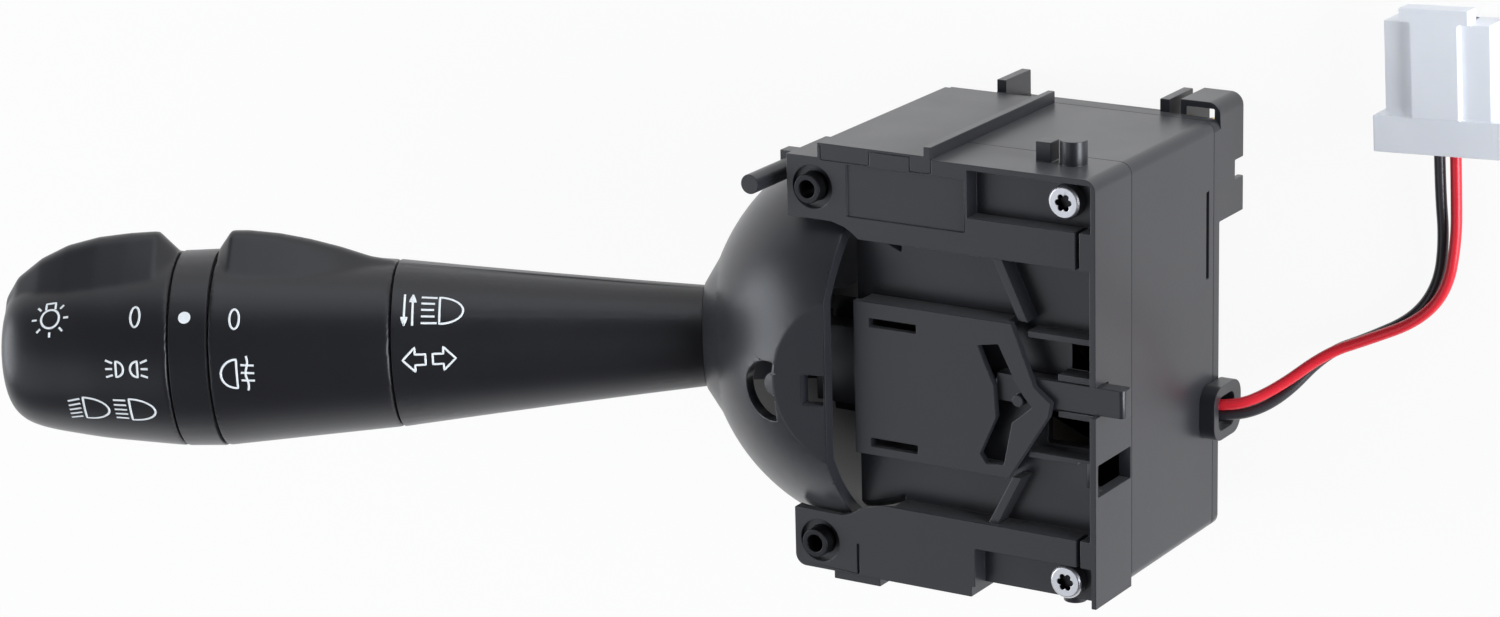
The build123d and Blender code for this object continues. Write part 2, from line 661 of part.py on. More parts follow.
# Dome shroud: hollow ball with a flat facet, open towards the housing, with a neck for the stalk
rim = Plane(
    origin=(hub_x - rim_reach, hub_y, hub_z - rim_drop),
    x_dir=(cos(radians(rim_slope)), 0, sin(radians(rim_slope))),
    z_dir=(sin(radians(rim_slope)), 0, -cos(radians(rim_slope))),
)
neck_foot_s = sqrt(dome_r**2 - neck_r**2)
window_x = 2.6
window_half_x = 1.6
window_y = -1.9
window_half_y = 2.3
kidney_x = -4.25
kidney_y = -2.75
kidney_r = 4.65
kidney_edge_x = -3.2
notch_y = -1.4
notch_r = 1.8
with BuildPart() as dome_shroud:
    turned([
        (neck_foot_s - 1, 0),
        (neck_foot_s - 1, neck_r),
        (neck_foot_s, neck_r),
        (root_s, root_r + 0.4),
        (root_s, 0),
    ])
    add(ball(dome_r, facet_distance))
    add(ball(dome_r - dome_t, facet_distance - dome_t), mode=Mode.SUBTRACT)
    bar(lever.offset(bar_end_s), root_r + 1.5, dome_r - dome_t + 0.5 - bar_end_s)
    bar(lever.offset(bar_end_s - 1), spigot_r + seat_gap, root_s, Mode.SUBTRACT)
    beyond = dome_r + 1
    block((dome_open_x, hub_x + beyond), around(hub_y, beyond), around(hub_z, beyond), Mode.SUBTRACT)
    with BuildSketch(rim) as low:
        Rectangle(4 * dome_r, 4 * dome_r)
    extrude(low.sketch, amount=2 * dome_r, mode=Mode.SUBTRACT)
    # Square window in the facet and the kidney-shaped window beside it
    window_z = (hub_z + facet_distance - 2 * dome_t, hub_z + dome_r)
    block(around(window_x, window_half_x), around(window_y, window_half_y), window_z, Mode.SUBTRACT)
    with BuildSketch(Plane((0, 0, hub_z + dome_r / 2))) as kidney:
        with Locations((kidney_x, kidney_y)):
            Circle(kidney_r)
        with Locations((kidney_edge_x + 1.5 * kidney_r, kidney_y)):
            Rectangle(3 * kidney_r, 3 * kidney_r, mode=Mode.SUBTRACT)
        with Locations((kidney_edge_x, notch_y)):
            Circle(notch_r, mode=Mode.SUBTRACT)
    extrude(kidney.sketch, amount=dome_r, mode=Mode.SUBTRACT)
dome_shroud.part.label = "dome_shroud"
export_step(dome_shroud.part, "parts/dome_shroud.step")

# Stalk tube between the dome neck and the fog ring
bush_s = (50.0, 58.0)
step_s = 60.0
plate_ring_t = 1.0
stalk_mid_s = (root_s + stalk_end_s) / 2
cavity_r = stalk_mid_r - shell_t + 0.6
with BuildPart() as stalk_tube:
    with BuildSketch(lever_side) as stalk_profile:
        with BuildLine():
            Line((root_s, 0), (root_s, root_r))
            ThreePointArc((root_s, root_r), (stalk_mid_s, stalk_mid_r), (stalk_end_s - seam_gap, stalk_end_r))
            Polyline((stalk_end_s - seam_gap, stalk_end_r), (stalk_end_s - seam_gap, 0), (root_s, 0))
        make_face()
    revolve(stalk_profile.sketch, axis=lever_axis)
    bar(lever.offset(root_s - 1), spigot_r + seat_gap, stalk_end_s, Mode.SUBTRACT)
    turned([
        (step_s, 0),
        (step_s, cavity_r),
        (step_s + plate_ring_t, cavity_r),
        (stalk_end_s, stalk_end_r - shell_t),
        (stalk_end_s, 0),
    ], Mode.SUBTRACT)
stalk_tube.part.label = "stalk_tube"
export_step(stalk_tube.part, "parts/stalk_tube.step")

with BuildPart() as core_tube:
    bar(lever.offset(core_start_s), core_r, collar_end_s - core_start_s, hole=core_in_r)
core_tube.part.label = "core_tube"
export_step(core_tube.part, "parts/core_tube.step")

with BuildPart() as core_bush:
    bar(lever.offset(bush_s[0]), spigot_r, bush_s[1] - bush_s[0], hole=core_r + seat_gap)
core_bush.part.label = "core_bush"
export_step(core_bush.part, "parts/core_bush.step")

# Index collar with the reference dot, fixed on the core tube
with BuildPart() as index_collar:
    turned([
        (ring_end_s + seam_gap, core_r + seat_gap),
        (ring_end_s + seam_gap, ring_r),
        (collar_end_s - seam_gap, knob_r),
        (collar_end_s - seam_gap, core_r + seat_gap),
    ])
index_collar.part.label = "index_collar"
export_step(index_collar.part, "parts/index_collar.step")

# Grip ears: a rounded fin on the upper side of the knob and of the ring.
# Each row holds the share of the length, of the radius of the body and of the reach of the fin.
ear_share = 0.165
lobe_sink = 0.5
knob_rows = [
    (0.0, 1.0, 1.035),
    (0.103, 0.98, 1.242),
    (0.274, 0.944, 1.228),
    (0.441, 0.907, 1.195),
    (0.612, 0.853, 1.119),
    (0.765, 0.795, 0.987),
    (0.904, 0.688, 0.795),
    (0.975, 0.477, 0.593),
]
ring_rows = [
    (0.0, 0.849, 0.864),
    (0.146, 0.869, 0.914),
    (0.314, 0.896, 1.023),
    (0.482, 0.922, 1.112),
    (0.653, 0.948, 1.181),
    (0.821, 0.973, 1.22),
    (0.92, 0.988, 1.224),
    (1.0, 1.0, 1.03),
]


def grip_ear(start_s, length, radius, rows):
    """The fin: lobes that stand on the body at stations along the lever, joined by straight lines."""
    with BuildPart() as fin:
        for share, body, reach in rows:
            with BuildSketch(lever.offset(start_s + length * share)):
                Circle(radius * body - lobe_sink)
                with Locations((0, radius * (reach - ear_share))):
                    Circle(radius * ear_share)
                make_hull()
        loft(ruled=True)
    return fin.part


web_s = (88.0, 91.0)
ring_in = ring_r - shell_t
with BuildPart() as fog_ring:
    turned([
        (stalk_end_s, fog_r),
        (stalk_end_s, stalk_end_r),
        (ring_end_s, ring_r),
        (ring_end_s, fog_r),
    ])
    add(grip_ear(stalk_end_s, ring_end_s - stalk_end_s, ring_r, ring_rows))
    fog_cavity = [(web_s[1], fog_r), (web_s[1], ring_in), (ring_end_s, ring_in), (ring_end_s, fog_r)]
    turned(fog_cavity, Mode.SUBTRACT)
    turned([
        (stalk_end_s, fog_r),
        (stalk_end_s, stalk_end_r - shell_t),
        (web_s[0], ring_in - 1),
        (web_s[0], fog_r),
    ], Mode.SUBTRACT)
    bar(lever.offset(stalk_end_s - 1), fog_r + seat_gap, ring_end_s + 2 - stalk_end_s, Mode.SUBTRACT)
fog_ring.part.label = "fog_ring"
export_step(fog_ring.part, "parts/fog_ring.step")

fog_start_s = 66.0
with BuildPart() as fog_sleeve:
    bar(lever.offset(fog_start_s), fog_r, ring_end_s - 1.0 - fog_start_s, hole=fog_in_r)
fog_sleeve.part.label = "fog_sleeve"
export_step(fog_sleeve.part, "parts/fog_sleeve.step")

# Light knob: rounded cap with a grip ear, and the rod that it turns
knob_l = knob_end_s - collar_end_s
knob_in = knob_r - shell_t - 0.5
knob_step_s = collar_end_s + 0.39 * knob_l
knob_floor_s = knob_end_s - 6.5
knob_wiper_s = collar_end_s + 3.0
rod_end_s = knob_end_s - 3.0
knob_points = [(collar_end_s + knob_l * share, knob_r * body) for share, body, _ in knob_rows]
with BuildPart() as light_knob:
    with BuildSketch(lever_side):
        with BuildLine():
            Spline(*knob_points)
            Polyline(knob_points[-1], (knob_end_s, 0.3 * knob_r), (knob_end_s, 0))
            Polyline((knob_end_s, 0), (collar_end_s, 0), knob_points[0])
        make_face()
    revolve(axis=lever_axis)
    add(grip_ear(collar_end_s, knob_l, knob_r, knob_rows))
    bar(lever.offset(collar_end_s - 1), knob_in, knob_step_s - collar_end_s + 1, Mode.SUBTRACT)
    bar(lever.offset(knob_step_s - 0.1), knob_in - 3.0, knob_floor_s - knob_step_s + 0.1, Mode.SUBTRACT)
    bar(lever.offset(knob_wiper_s), rod_r + 2.2, rod_end_s + 1.0 - knob_wiper_s)
    bar(lever.offset(collar_end_s), rod_r + seat_gap, rod_end_s - collar_end_s, Mode.SUBTRACT)
light_knob.part.label = "light_knob"
export_step(light_knob.part, "parts/light_knob.step")

rod_start_s = 20.0
with BuildPart() as knob_rod:
    bar(lever.offset(rod_start_s), rod_r, rod_end_s - 0.2 - rod_start_s)
knob_rod.part.label = "knob_rod"
export_step(knob_rod.part, "parts/knob_rod.step")

# Contact rings of the knob and the fog ring
wiper_t = 0.4
with BuildPart() as knob_contact_plate:
    bar(lever.offset(collar_end_s - seam_gap), knob_in - 0.6, plate_ring_t, hole=core_r + 0.6)
knob_contact_plate.part.label = "knob_contact_plate"
export_step(knob_contact_plate.part, "parts/knob_contact_plate.step")

with BuildPart() as knob_wiper:
    bar(lever.offset(knob_wiper_s - wiper_t), knob_in - 2.0, wiper_t, hole=rod_r + 0.4)
knob_wiper.part.label = "knob_wiper"
export_step(knob_wiper.part, "parts/knob_wiper.step")

with BuildPart() as fog_contact_plate:
    bar(lever.offset(step_s), cavity_r - seat_gap, plate_ring_t, hole=core_r + seat_gap)
fog_contact_plate.part.label = "fog_contact_plate"
export_step(fog_contact_plate.part, "parts/fog_contact_plate.step")

with BuildPart() as fog_wiper:
    bar(lever.offset(fog_start_s - wiper_t), fog_r + 2.4, wiper_t, hole=fog_in_r)
fog_wiper.part.label = "fog_wiper"
export_step(fog_wiper.part, "parts/fog_wiper.step")

# Dip slider on the ball of the tail, its wiper and the upright contact board
dip_half = 6.0
dip_in = 12.0
dip_out = 18.0
dip_x = (hub_x + dip_in, hub_x + dip_out)
pocket_half = 5.2
dip_half_z = 4.5
with BuildPart() as dip_slider:
    block(dip_x, around(hub_y, dip_half), around(hub_z, dip_half_z))
    pocket_x = (dip_x[0], hub_x + tail_reach + tail_r + 0.2)
    block(pocket_x, around(hub_y, pocket_half), around(hub_z, tail_r + 0.1), Mode.SUBTRACT)
dip_slider.part.label = "dip_slider"
export_step(dip_slider.part, "parts/dip_slider.step")

with BuildPart() as dip_wiper:
    block((dip_x[1], dip_x[1] + 0.3), around(hub_y, 2.0), around(hub_z, 3.5))
dip_wiper.part.label = "dip_wiper"
export_step(dip_wiper.part, "parts/dip_wiper.step")

dip_board_x = dip_x[1] + 0.6
with BuildPart() as dip_board:
    block((dip_board_x, dip_board_x + base_t), around(hub_y, 9.0), (hub_z - 8.0, field_back_z))
dip_board.part.label = "dip_board"
export_step(dip_board.part, "parts/dip_board.step")

with BuildPart() as dip_tracks:
    for y in (-1.0, 1.0):
        block((dip_board_x - track_t, dip_board_x), around(hub_y + y, 0.7), around(hub_z, 7.0))
dip_tracks.part.label = "dip_tracks"
export_step(dip_tracks.part, "parts/dip_tracks.step")

dip_foot = Vector(hub_x + 9.0, hub_y, floor_z[1])
dip_spring = coil(dip_foot, Vector(0, 0, 1), 1.5, wire_r, hub_z - tail_half - floor_z[1], 4)
dip_spring.label = "dip_spring"
export_step(dip_spring, "parts/dip_spring.step")

# Cancel finger with its pin, its spring and the guide plate with the V-shaped slot
finger_z = (field_z + finger_lift, field_z + finger_lift + finger_t)
plate_low_z = plate_top_z - plate_t
pin_x = 34.0
pin_y = -0.4
with BuildPart() as cancel_finger:
    block((finger_in_x, finger_out_x), around(finger_y, finger_w / 2), finger_z)
    fillet(cancel_finger.edges().filter_by(Axis.Y).group_by(Axis.X)[-1], 0.8)
    bar(Plane((pin_x, pin_y, finger_z[1])), 0.9, plate_top_z - finger_z[1] - 0.1)
cancel_finger.part.label = "cancel_finger"
export_step(cancel_finger.part, "parts/cancel_finger.step")

cancel_foot = Vector(spring_foot_x, finger_y, (finger_z[0] + finger_z[1]) / 2)
cancel_spring = coil(cancel_foot, Vector(1, 0, 0), 1.0, wire_r, finger_in_x - spring_foot_x, 6)
cancel_spring.label = "cancel_spring"
export_step(cancel_spring, "parts/cancel_spring.step")

skirt_x = 7.5
slot_points = [
    (27.6, 7.2),
    (30.9, 7.8),
    (33.7, 2.4),
    (35.0, 0.5),
    (36.4, -1.0),
    (34.9, -2.3),
    (33.1, -3.8),
    (31.7, -10.4),
    (28.8, -10.7),
    (27.8, -9.3),
    (30.5, -3.4),
    (30.2, 1.4),
    (28.6, 4.8),
]
plate_outline = [(6.7, 11.2), (33.1, 11.2), (36.8, 2.1), (39.5, 0), (39.1, -2.1), (32.5, -12.4), (6.7, -12.4)]
with BuildPart() as guide_plate:
    prism(plate_outline, (plate_low_z, plate_top_z))
    # Skirt that stands on the low field
    block((skirt_x, 32.0), (11.2 - plate_rim, 11.2), (field_z, plate_low_z))
    block((skirt_x, 31.8), (-12.4, -12.4 + plate_rim), (field_z, plate_low_z))
    # Slot for the pin of the cancel finger
    prism(slot_points, (plate_low_z, plate_top_z), Mode.SUBTRACT)
    for y in (8.1, -10.4):
        block((9.4, 17.3), around(y, 0.65), (plate_low_z, plate_top_z), Mode.SUBTRACT)
guide_plate.part.label = "guide_plate"
export_step(guide_plate.part, "parts/guide_plate.step")

# Clip on the right wall that the two wires pass through
clip_t = 2.5
clip_y = (-14.75, -6.3)
clip_z = (-44.2, -35.0)
clip_hole_y = (-13.2, -7.9)
clip_hole_z = (-41.8, -36.6)
with BuildPart() as wire_clip:
    clip_plane = Plane((right_x, 0, 0), x_dir=(0, 1, 0), z_dir=(1, 0, 0))
    loops = ((clip_y, clip_z, 2.6, Mode.ADD), (clip_hole_y, clip_hole_z, 1.2, Mode.SUBTRACT))
    for y, z, rounding, mode in loops:
        with BuildSketch(clip_plane) as loop:
            with Locations(((y[0] + y[1]) / 2, (z[0] + z[1]) / 2)):
                RectangleRounded(y[1] - y[0], z[1] - z[0], rounding)
        extrude(loop.sketch, amount=clip_t, mode=mode)
wire_clip.part.label = "wire_clip"
export_step(wire_clip.part, "parts/wire_clip.step")

# Plug: flange, body, raised latch and two contacts in the mating face
plug_low_z = back_z
plug_across = (cos(radians(plug_yaw)), sin(radians(plug_yaw)), 0)
plug = Plane((plug_x, plug_y, plug_low_z), x_dir=plug_across, z_dir=(0, 0, 1))
contact_w = 1.4
contact_l = 8.0


def slab(plane, x, y, z, mode=Mode.ADD):
    """Add or cut a box whose ranges are measured on a plane."""
    with BuildSketch(plane.offset(z[0])) as foot:
        with Locations(((x[0] + x[1]) / 2, (y[0] + y[1]) / 2)):
            Rectangle(x[1] - x[0], y[1] - y[0])
    extrude(foot.sketch, amount=z[1] - z[0], mode=mode)


plug_end = flange_l + plug_l
plug_lift = 0.4
plug_body_z = (plug_lift, plug_lift + plug_body_t)
latch_z = (plug_body_z[1], plug_body_z[1] + latch_t)
contact_xs = (-wire_half_pitch - 1.75, wire_half_pitch + 1.75)
contact_foot = plug_end - contact_l - 2.0
with BuildPart() as plug_housing:
    slab(plug, around(0, flange_w / 2), (0, flange_l), (0, plug_t))
    slab(plug, around(0, plug_w / 2), (flange_l, plug_end), plug_body_z)
    slab(plug, around(0, latch_w / 2), (flange_l, plug_end + 0.6), latch_z)
    slab(plug, around(0, latch_bar_w / 2), (plug_end, plug_end + 2.2), (latch_z[0] - 2.0, latch_z[1]))
    for x in contact_xs:
        slab(plug, around(x, 1.3), (contact_foot, plug_end), (1.2, 3.8), Mode.SUBTRACT)
plug_housing.part.label = "plug_housing"
export_step(plug_housing.part, "parts/plug_housing.step")

with BuildPart() as plug_contacts:
    for x in contact_xs:
        slab(plug, around(x, contact_w / 2), (contact_foot, plug_end - 1.5), (1.8, 3.2))
plug_contacts.part.label = "plug_contacts"
export_step(plug_contacts.part, "parts/plug_contacts.step")


def wire_tube(route, name):
    """A wire along its route, with arcs as large as its runs allow."""
    radii = []
    for before, corner, after in zip(route, route[1:], route[2:]):
        come = Vector(*corner) - Vector(*before)
        leave = Vector(*after) - Vector(*corner)
        half_turn = radians(come.get_angle(leave) / 2)
        radii.append(0.45 * min(come.length, leave.length) / tan(half_turn))
    with BuildPart() as tube:
        with BuildLine() as path:
            FilletPolyline(*route, radius=radii)
        with BuildSketch(Plane(path.line @ 0, z_dir=path.line % 0)) as section:
            Circle(wire_d / 2)
        sweep(section.sketch, path=path.wire())
    length = path.wire().length
    print(name, "length", round(length, 1), "radii", [round(radius, 1) for radius in radii])
    return tube.part


wire_lift = 3.2
wire_exit = 4.3
red_end = [tuple(plug.from_local_coords((wire_half_pitch, y, wire_lift))) for y in (-last_run, 0)]
red_route = [
    (right_x, -9.4, -38.0),
    (right_x + wire_exit, -9.4, -38.0),
    (56.2, -6.7, -41.5),
    (62.5, -1.2, -45.4),
    (69.0, 1.6, -46.4),
    (76.6, 5.3, -46.7),
    (81.0, 10.6, -46.8),
    (82.3, 18.4, -46.6),
] + red_end
red_wire = wire_tube(red_route, "red wire")
red_wire.label = "red_wire"
export_step(red_wire, "parts/red_wire.step")

black_end = [tuple(plug.from_local_coords((-wire_half_pitch, y, wire_lift))) for y in (-last_run, 0)]
black_route = [
    (right_x, -11.2, -38.8),
    (right_x + wire_exit, -11.2, -38.8),
    (56.4, -8.7, -42.6),
    (61.6, -1.8, -47.2),
    (68.0, 1.1, -48.2),
    (75.2, 5.2, -48.4),
    (79.0, 10.9, -48.3),
    (80.0, 18.2, -47.5),
] + black_end
black_wire = wire_tube(black_route, "black wire")
black_wire.label = "black_wire"
export_step(black_wire, "parts/black_wire.step")
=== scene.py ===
import json
import math

import bpy
from bpy.props import FloatProperty, FloatVectorProperty, PointerProperty
from bpy.types import Operator, Panel, PropertyGroup
from mathutils import Matrix, Vector

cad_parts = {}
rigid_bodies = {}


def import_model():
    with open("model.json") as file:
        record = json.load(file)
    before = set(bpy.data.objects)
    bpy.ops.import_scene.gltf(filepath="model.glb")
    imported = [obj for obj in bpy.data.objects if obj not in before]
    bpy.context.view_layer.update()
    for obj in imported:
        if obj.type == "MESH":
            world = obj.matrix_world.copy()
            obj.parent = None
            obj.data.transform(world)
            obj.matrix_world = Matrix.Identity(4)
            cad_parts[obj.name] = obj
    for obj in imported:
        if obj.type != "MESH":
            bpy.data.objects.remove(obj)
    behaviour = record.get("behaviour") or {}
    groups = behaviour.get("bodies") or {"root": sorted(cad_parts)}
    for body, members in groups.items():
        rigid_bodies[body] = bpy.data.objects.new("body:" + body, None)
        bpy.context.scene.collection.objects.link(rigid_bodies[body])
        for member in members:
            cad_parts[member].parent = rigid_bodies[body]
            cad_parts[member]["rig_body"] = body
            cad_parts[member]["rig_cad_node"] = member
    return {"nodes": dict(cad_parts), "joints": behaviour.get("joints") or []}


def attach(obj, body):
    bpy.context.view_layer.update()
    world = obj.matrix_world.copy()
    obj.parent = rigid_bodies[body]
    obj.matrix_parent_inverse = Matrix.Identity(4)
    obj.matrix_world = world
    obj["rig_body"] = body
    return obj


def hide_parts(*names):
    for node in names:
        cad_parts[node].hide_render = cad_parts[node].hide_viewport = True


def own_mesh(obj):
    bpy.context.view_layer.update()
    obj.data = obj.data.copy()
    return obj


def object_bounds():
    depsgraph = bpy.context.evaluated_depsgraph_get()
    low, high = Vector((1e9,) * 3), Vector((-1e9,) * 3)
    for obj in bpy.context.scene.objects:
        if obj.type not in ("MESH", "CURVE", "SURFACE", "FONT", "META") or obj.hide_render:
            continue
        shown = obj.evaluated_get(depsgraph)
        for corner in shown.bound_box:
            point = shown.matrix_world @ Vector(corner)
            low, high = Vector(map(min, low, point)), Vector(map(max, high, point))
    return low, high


bl_info = {
    "name": "Stalk Switch Builder",
    "version": (1, 0, 0),
    "blender": (4, 5, 0),
    "location": "View3D > Sidebar > Stalk Switch",
    "description": "Dresses the packed model of a car's combination stalk switch and sets its stage",
    "category": "Object",
}

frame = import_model()
cad_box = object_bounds()

MM = 0.001

# The hub and the direction of the lever, as the joints of the frame state them
JOINTS = {joint["name"]: joint for joint in frame["joints"]}
HUB = Vector(JOINTS["dip_flash"]["pos_m"])
ALONG = Vector(JOINTS["light_knob_turn"]["axis"]).normalized()
FRONT = (Vector((0, 0, 1)) - ALONG * ALONG.z).normalized()
UPWARD = ALONG.cross(FRONT)

# Where the photograph was taken from, with the lens and the sensor in millimetres
CAMERA_PLACE = Vector((0.311416, 0.187313, 0.505042))
CAMERA_RIGHT = Vector((0.84725, -0.02608, -0.53055))
CAMERA_UP = Vector((-0.13121, 0.95757, -0.25661))
CAMERA_LENS = 100.8
SENSOR_WIDTH = 36

# Axes of the two housing screws, and the radius and the depths that their recess lies within, where the
# screws get painted shade
SCREW_X = 41.0 * MM
SCREW_YS = (-27.4 * MM, 29.8 * MM)
RECESS_R = 1.35 * MM
RECESS_TOP = 0.2 * MM
RECESS_FLOOR = 1.3 * MM

# Angles that the modelling tools go by: a flat face, a round surface, a coarse one as of a spring
FLAT = math.radians(1)
ROUND = math.radians(30)
COARSE = math.radians(40)

# The plastic under a symbol is looked for from this far off the lever's axis, and the symbol's
# round lines are pressed flat to this share of their height
SEARCH_FROM = 50 * MM
INK_FLATNESS = 0.06

# What the lamps are turned to, their colour, and how far the floor lies under the switch
LAMP_AIM = Vector((-0.02, 0, -0.01))
LAMP_COLOR = (0.9, 0.94, 1.0)
FLOOR_GAP = 0.1 * MM

# Routes of the two wires in millimetres
RED_ROUTE = [
    (46.6, -9.4, -38.0),
    (50.9, -9.4, -38.0),
    (56.2, -6.7, -41.5),
    (62.5, -1.2, -45.4),
    (69.0, 1.6, -46.4),
    (76.6, 5.3, -46.7),
    (81.0, 10.6, -46.8),
    (82.3, 18.4, -46.6),
    (82.228, 25.511, -46.4),
    (81.949, 31.905, -46.4),
]
BLACK_ROUTE = [
    (46.6, -11.2, -38.8),
    (50.9, -11.2, -38.8),
    (56.4, -8.7, -42.6),
    (61.6, -1.8, -47.2),
    (68.0, 1.1, -48.2),
    (75.2, 5.2, -48.4),
    (79.0, 10.9, -48.3),
    (80.0, 18.2, -47.5),
    (79.730, 25.402, -46.4),
    (79.451, 31.795, -46.4),
]


class SwitchFinish(PropertyGroup):
    """Colours of the switch's finishes."""

    plastic: FloatVectorProperty(
        name="Housing plastic", description="Colour of the housing and the dome",
        default=(0.014, 0.0145, 0.018), subtype="COLOR", min=0, max=1,
    )
    stalk: FloatVectorProperty(
        name="Stalk plastic", description="Colour of the stalk, ring, collar and knob",
        default=(0.0075, 0.0075, 0.0095), subtype="COLOR", min=0, max=1,
    )
    ink: FloatVectorProperty(
        name="Ink", description="Colour of the printed symbols",
        default=(0.82, 0.85, 0.86), subtype="COLOR", min=0, max=1,
    )
    red: FloatVectorProperty(
        name="Red insulation", description="Colour of the red wire",
        default=(0.72, 0.02, 0.035), subtype="COLOR", min=0, max=1,
    )
    nylon: FloatVectorProperty(
        name="Plug nylon", description="Colour of the plug",
        default=(0.9, 0.92, 0.96), subtype="COLOR", min=0, max=1,
    )


class SwitchSizes(PropertyGroup):
    """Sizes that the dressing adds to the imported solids."""

    edge: FloatProperty(
        name="Edge rounding", description="Rounding of the housing's moulded edges",
        default=0.14 * MM, unit="LENGTH", min=0,
    )
    stroke: FloatProperty(
        name="Stroke", description="Width of a printed line",
        default=0.35 * MM, unit="LENGTH", min=0,
    )
    ink_lift: FloatProperty(
        name="Ink thickness", description="How far the print stands above the plastic",
        default=0.03 * MM, unit="LENGTH", min=0,
    )
    wire: FloatProperty(
        name="Wire", description="Diameter of a wire over its insulation",
        default=1.7 * MM, unit="LENGTH", min=0,
    )


def finish_of():
    return bpy.context.scene.switch_finish


def sizes_of():
    return bpy.context.scene.switch_sizes


# Shader node groups


def new_group(name, inputs, outputs):
    """An empty shader node group with named sockets."""
    group = bpy.data.node_groups.new(name, "ShaderNodeTree")
    for label, kind, value in inputs:
        socket = group.interface.new_socket(label, in_out="INPUT", socket_type=kind)
        if value is not None:
            socket.default_value = value
    for label, kind in outputs:
        group.interface.new_socket(label, in_out="OUTPUT", socket_type=kind)
    return group, group.nodes.new("NodeGroupInput"), group.nodes.new("NodeGroupOutput")


def math_node(tree, operation, *given):
    """A sum whose inputs are numbers or the outputs of other nodes."""
    node = tree.nodes.new("ShaderNodeMath")
    node.operation = operation
    for socket, value in zip(node.inputs, given):
        if isinstance(value, bpy.types.NodeSocket):
            tree.links.new(value, socket)
        else:
            socket.default_value = value
    return node.outputs[0]


def noise(tree, place, detail, scale):
    """A noise pattern over a place, at a plain scale or one from another node."""
    node = tree.nodes.new("ShaderNodeTexNoise")
    node.inputs["Detail"].default_value = detail
    tree.links.new(place, node.inputs["Vector"])
    if isinstance(scale, bpy.types.NodeSocket):
        tree.links.new(scale, node.inputs["Scale"])
    else:
        node.inputs["Scale"].default_value = scale
    return node.outputs["Fac"]


def moulded_grain():
    """Fine texture of moulded plastic: a height, a roughness and a colour that vary a little."""
    if "Moulded Grain" in bpy.data.node_groups:
        return bpy.data.node_groups["Moulded Grain"]
    group, given, out = new_group(
        "Moulded Grain",
        [
            ("Color", "NodeSocketColor", (0.03, 0.03, 0.03, 1)),
            ("Roughness", "NodeSocketFloat", 0.45),
            ("Grain Size", "NodeSocketFloat", 0.25),
            ("Variation", "NodeSocketFloat", 0.1),
        ],
        [("Color", "NodeSocketColor"), ("Roughness", "NodeSocketFloat"), ("Height", "NodeSocketFloat")],
    )
    links = group.links
    place = group.nodes.new("ShaderNodeTexCoord").outputs["Object"]
    # Grain size is in millimetres, so the scale is a thousand over it
    grain = noise(group, place, 3, math_node(group, "DIVIDE", 1000, given.outputs["Grain Size"]))
    spread = math_node(group, "SUBTRACT", noise(group, place, 4, 90), 0.5)
    swing = math_node(group, "MULTIPLY", spread, given.outputs["Variation"])
    rough = math_node(group, "ADD", given.outputs["Roughness"], swing)
    rough.node.use_clamp = True
    brighter = group.nodes.new("ShaderNodeHueSaturation")
    links.new(math_node(group, "MULTIPLY_ADD", swing, 2.0, 1.0), brighter.inputs["Value"])
    links.new(given.outputs["Color"], brighter.inputs["Color"])
    links.new(brighter.outputs["Color"], out.inputs["Color"])
    links.new(rough, out.inputs["Roughness"])
    links.new(grain, out.inputs["Height"])
    return group


def turned_marks():
    """Fine scratches of drawn or turned metal: a roughness and a height."""
    if "Turned Marks" in bpy.data.node_groups:
        return bpy.data.node_groups["Turned Marks"]
    group, given, out = new_group(
        "Turned Marks",
        [("Roughness", "NodeSocketFloat", 0.3), ("Scale", "NodeSocketFloat", 900.0)],
        [("Roughness", "NodeSocketFloat"), ("Height", "NodeSocketFloat")],
    )
    links = group.links
    place = group.nodes.new("ShaderNodeTexCoord").outputs["Object"]
    stretch = group.nodes.new("ShaderNodeMapping")
    stretch.inputs["Scale"].default_value = (1, 1, 6)
    links.new(place, stretch.inputs["Vector"])
    marks = noise(group, stretch.outputs[0], 5, given.outputs["Scale"])
    rough = math_node(group, "MULTIPLY_ADD", marks, 0.25, given.outputs["Roughness"])
    links.new(rough, out.inputs["Roughness"])
    links.new(marks, out.inputs["Height"])
    return group


# Materials


def new_material(name, group, bump, depth):
    """A material with its shader, and a node group that gives it roughness and relief."""
    made = bpy.data.materials.new(name)
    made.use_nodes = True
    nodes, links = made.node_tree.nodes, made.node_tree.links
    shader = nodes["Principled BSDF"]
    pattern = nodes.new("ShaderNodeGroup")
    pattern.node_tree = group
    height = nodes.new("ShaderNodeBump")
    height.inputs["Strength"].default_value = bump
    height.inputs["Distance"].default_value = depth
    links.new(pattern.outputs["Roughness"], shader.inputs["Roughness"])
    links.new(pattern.outputs["Height"], height.inputs["Height"])
    links.new(height.outputs["Normal"], shader.inputs["Normal"])
    return made, shader, pattern


def plastic(name, color, roughness, grain_size, bump, variation=0.12, dust=0.0, specular=0.5):
    """A moulded plastic with its own grain, and a little dust that pales it at a slant."""
    if name in bpy.data.materials:
        return bpy.data.materials[name]
    made, shader, grain = new_material(name, moulded_grain(), bump, 0.03 * MM)
    grain.inputs["Color"].default_value = (*color, 1)
    grain.inputs["Roughness"].default_value = roughness
    grain.inputs["Grain Size"].default_value = grain_size
    grain.inputs["Variation"].default_value = variation
    made.node_tree.links.new(grain.outputs["Color"], shader.inputs["Base Color"])
    shader.inputs["Specular IOR Level"].default_value = specular
    shader.inputs["Sheen Weight"].default_value = dust
    shader.inputs["Sheen Roughness"].default_value = 0.45
    shader.inputs["Sheen Tint"].default_value = (0.9, 0.9, 0.9, 1)
    return made


def metal(name, color, roughness):
    """A metal with fine marks."""
    if name in bpy.data.materials:
        return bpy.data.materials[name]
    made, shader, marks = new_material(name, turned_marks(), 0.1, 0.02 * MM)
    marks.inputs["Roughness"].default_value = roughness
    shader.inputs["Base Color"].default_value = (*color, 1)
    shader.inputs["Metallic"].default_value = 1
    return made


